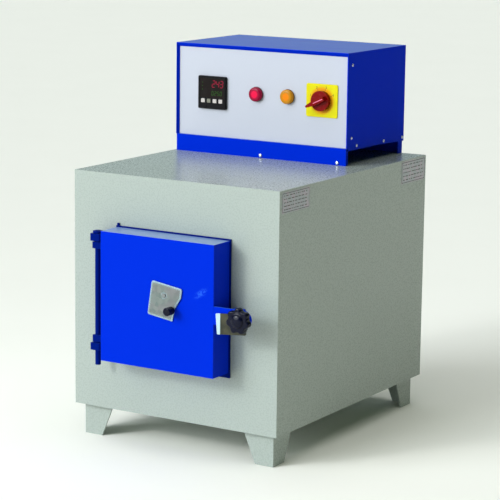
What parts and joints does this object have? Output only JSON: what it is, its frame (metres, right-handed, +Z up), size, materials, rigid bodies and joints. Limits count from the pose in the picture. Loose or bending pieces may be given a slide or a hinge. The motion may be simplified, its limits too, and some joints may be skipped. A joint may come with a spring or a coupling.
{
  "type": "electric muffle kiln",
  "caption": "Front-loading electric muffle kiln on folded legs, with an insulated side-hinged door, turn latch, sight-hole cover and a control box on top.",
  "frame": {"origin": "on the floor, under the middle of the whole object's box", "axes": "+Z up, -Y towards the door and the controls, +X to the right as seen from the front"},
  "size_m": [0.4606, 0.6904, 0.747],
  "materials": {
    "cabinet_paint": "glossy powder coat, pale grey-green",
    "blue_paint": "glossy enamel, bright blue",
    "fascia_paint": "satin, off-white",
    "yellow_plate": "semi-gloss",
    "red_knob": "semi-gloss",
    "black_plastic": "moulded, fine texture",
    "grey_keys": "moulded",
    "smoked_window": "polished, smoked",
    "red_lens": "polished, translucent",
    "amber_lens": "polished, translucent",
    "steel": "turned and lightly brushed",
    "zinc_steel": "zinc plated, dulled",
    "screws": "bright plated",
    "element_alloy": "oxidised resistance alloy",
    "brass": "machined",
    "firebrick": "porous insulating brick",
    "fibre_board": "matt fibre board",
    "muffle_ceramic": "fired refractory, slightly stained",
    "porcelain": "glazed",
    "label_foil": "satin foil, blank"
  },
  "bodies": {
    "cabinet": {"shell": "cabinet_paint", "front_panel": "cabinet_paint", "rear_panel": "cabinet_paint", "base_pan": "cabinet_paint", "leg_front_left": "cabinet_paint", "leg_front_right": "cabinet_paint", "leg_rear_left": "cabinet_paint", "leg_rear_right": "cabinet_paint", "leg_bolts": "screws", "front_brick": "firebrick", "insulation_sides": "fibre_board", "insulation_top": "fibre_board", "insulation_bottom": "fibre_board", "insulation_rear": "fibre_board", "muffle": "muffle_ceramic", "heating_coil": "element_alloy", "terminal_block": "porcelain", "terminal_nuts": "brass", "thermocouple_sheath": "porcelain", "thermocouple_head": "steel", "hinge_lugs": "blue_paint", "latch_keeper": "blue_paint", "data_plates": "label_foil", "panel_screws": "screws", "control_base": "blue_paint", "fascia": "fascia_paint", "control_cover": "blue_paint", "control_rear_panel": "blue_paint", "controller_body": "black_plastic", "controller_window": "smoked_window", "lamp_bodies": "black_plastic", "red_lens": "red_lens", "amber_lens": "amber_lens", "switch_plate": "yellow_plate", "switch_body": "black_plastic", "contactor": "black_plastic", "din_rail": "zinc_steel", "cable_gland": "black_plastic", "lead_bush": "black_plastic"},
    "door": {"door_pan": "blue_paint", "door_back_plate": "blue_paint", "door_insulation": "fibre_board", "door_plug": "firebrick", "hinge_rod": "blue_paint", "hinge_tabs": "blue_paint", "hinge_collars": "blue_paint", "latch_strap": "blue_paint", "latch_plate": "zinc_steel", "sight_tube": "porcelain", "sight_pivot": "steel"},
    "latch": {"latch_knob": "black_plastic", "latch_spindle": "steel"},
    "sight_flap": {"sight_cover": "zinc_steel", "sight_cover_knob": "black_plastic"},
    "selector": {"selector_knob": "red_knob", "selector_shaft": "steel"},
    "key_1": {"controller_key_1": "grey_keys"},
    "key_2": {"controller_key_2": "grey_keys"},
    "key_3": {"controller_key_3": "grey_keys"},
    "key_4": {"controller_key_4": "grey_keys"}
  },
  "joints": [
    {"name": "door_swing", "type": "hinge", "parent": "cabinet", "child": "door", "pos_m": [-0.1533, -0.2943, 0.298], "axis": [0, 0, -1], "range_deg": [0, 115]},
    {"name": "latch_turn", "type": "hinge", "parent": "door", "child": "latch", "pos_m": [0.1887, -0.3233, 0.2925], "axis": [0, 1, 0], "range_deg": [0, 90]},
    {"name": "sight_cover_swing", "type": "hinge", "parent": "door", "child": "sight_flap", "pos_m": [0.01796, -0.3219, 0.31714], "axis": [0, 1, 0], "range_deg": [-100, 100]},
    {"name": "selector_turn", "type": "hinge", "parent": "cabinet", "child": "selector", "pos_m": [0.1152, 0.0857, 0.65], "axis": [0, 1, 0], "range_deg": [0, 180]},
    {"name": "key_1_press", "type": "slide", "parent": "cabinet", "child": "key_1", "axis": [0, 1, 0], "range_m": [0, 0.0008], "stiffness_N_per_m": 1500, "springref_m": -0.0003},
    {"name": "key_2_press", "type": "slide", "parent": "cabinet", "child": "key_2", "axis": [0, 1, 0], "range_m": [0, 0.0008], "stiffness_N_per_m": 1500, "springref_m": -0.0003},
    {"name": "key_3_press", "type": "slide", "parent": "cabinet", "child": "key_3", "axis": [0, 1, 0], "range_m": [0, 0.0008], "stiffness_N_per_m": 1500, "springref_m": -0.0003},
    {"name": "key_4_press", "type": "slide", "parent": "cabinet", "child": "key_4", "axis": [0, 1, 0], "range_m": [0, 0.0008], "stiffness_N_per_m": 1500, "springref_m": -0.0003}
  ]
}
